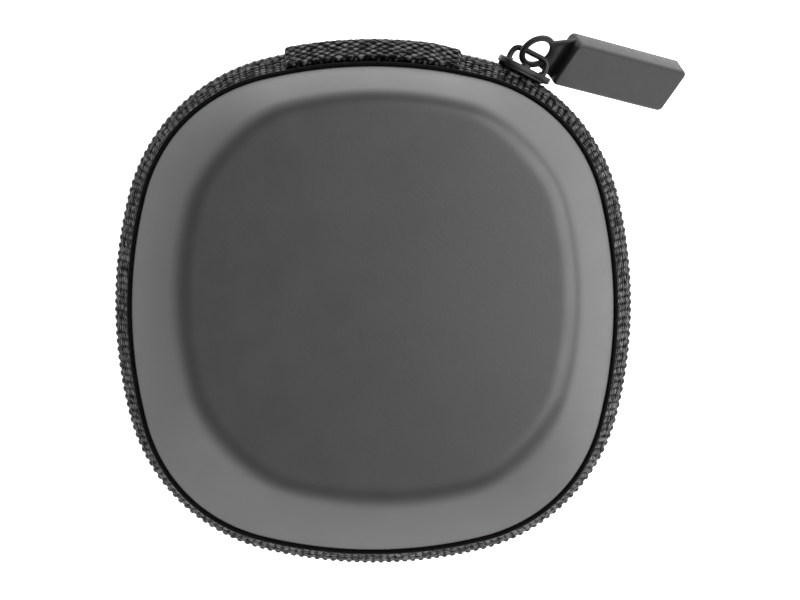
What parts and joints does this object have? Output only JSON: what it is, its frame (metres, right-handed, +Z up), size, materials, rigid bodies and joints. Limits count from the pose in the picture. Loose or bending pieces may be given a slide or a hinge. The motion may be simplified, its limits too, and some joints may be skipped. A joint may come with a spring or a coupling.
{
  "type": "headphone carrying case",
  "caption": "Rounded-square zipped hard case for in-ear headphones, with two moulded foam shells, a woven gusset, a fabric hinge and a rubber pull tab.",
  "frame": {"origin": "middle of the base's flat bottom", "axes": "+Z up through the lid, +Y towards the fabric hinge, +X to the right when the hinge is at the back"},
  "size_m": [0.0897, 0.0824, 0.038],
  "materials": {
    "leatherette": "satin, smooth-grained dark grey leatherette",
    "foam": "matt moulded foam",
    "lining": "matt black jersey",
    "binding": "ribbed black tape",
    "webbing": "coarse woven black nylon",
    "piping": "matt black piping cord",
    "zip_tape": "herringbone black tape",
    "zip_teeth": "black nylon coil",
    "net": "black elastic net",
    "slider_metal": "satin black paint",
    "tab_rubber": "matt dark grey rubber"
  },
  "bodies": {
    "base": {"base_skin": "leatherette", "base_core": "foam", "base_lining": "lining", "base_binding": "binding", "base_band": "webbing", "base_welt": "piping", "base_zip_tape": "zip_tape", "base_zip_coil": "zip_teeth", "hinge_strip": "webbing", "hinge_lining": "lining"},
    "lid": {"lid_skin": "leatherette", "lid_core": "foam", "lid_lining": "lining", "lid_binding": "binding", "lid_band": "webbing", "lid_welt": "piping", "lid_zip_tape": "zip_tape", "lid_zip_coil": "zip_teeth", "lid_pocket": "net", "pocket_elastic": "net"},
    "slider": {"slider_body": "slider_metal", "slider_bail": "slider_metal"},
    "puller": {"pull_eye": "slider_metal", "pull_tab": "tab_rubber"}
  },
  "joints": [
    {"name": "lid_hinge", "type": "hinge", "parent": "base", "child": "lid", "pos_m": [0, 0.0407, 0.019], "axis": [-1, 0, 0], "range_deg": [0, 180], "deforming": ["hinge_strip", "hinge_lining", "lid_zip_tape", "lid_zip_coil"]},
    {"name": "slider_run", "type": "hinge", "parent": "base", "child": "slider", "pos_m": [0.00992, 0.01019, 0.019], "axis": [0, 0, 1], "range_deg": [-39, 0]},
    {"name": "puller_swing", "type": "hinge", "parent": "slider", "child": "puller", "pos_m": [0.02447, 0.03875, 0.019], "axis": [0.891, -0.454, 0], "range_deg": [0, 78]}
  ]
}
